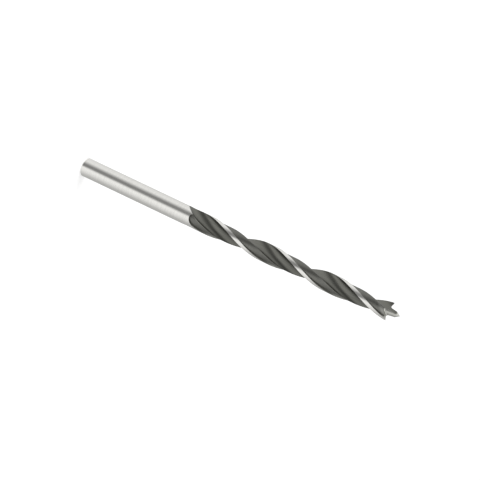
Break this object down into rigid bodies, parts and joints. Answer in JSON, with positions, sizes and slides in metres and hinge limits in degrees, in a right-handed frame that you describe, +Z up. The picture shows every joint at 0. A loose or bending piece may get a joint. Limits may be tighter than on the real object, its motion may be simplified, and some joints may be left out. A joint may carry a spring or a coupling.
{
  "type": "brad point drill bit",
  "caption": "Brad point drill bit for wood: plain round shank, twisted flutes with narrow bright margins, outer spurs and a sharp centre point",
  "frame": {"origin": "centre of the flat shank end, where the bit stands", "axes": "+Z up the axis from the shank end to the centre point; the two cutting edges lie along X at the height of the spurs"},
  "size_m": [0.0048, 0.0048, 0.0889],
  "materials": {
    "ground_steel": "ground"
  },
  "bodies": {
    "root": {"drill_bit": "ground_steel"}
  },
  "joints": []
}
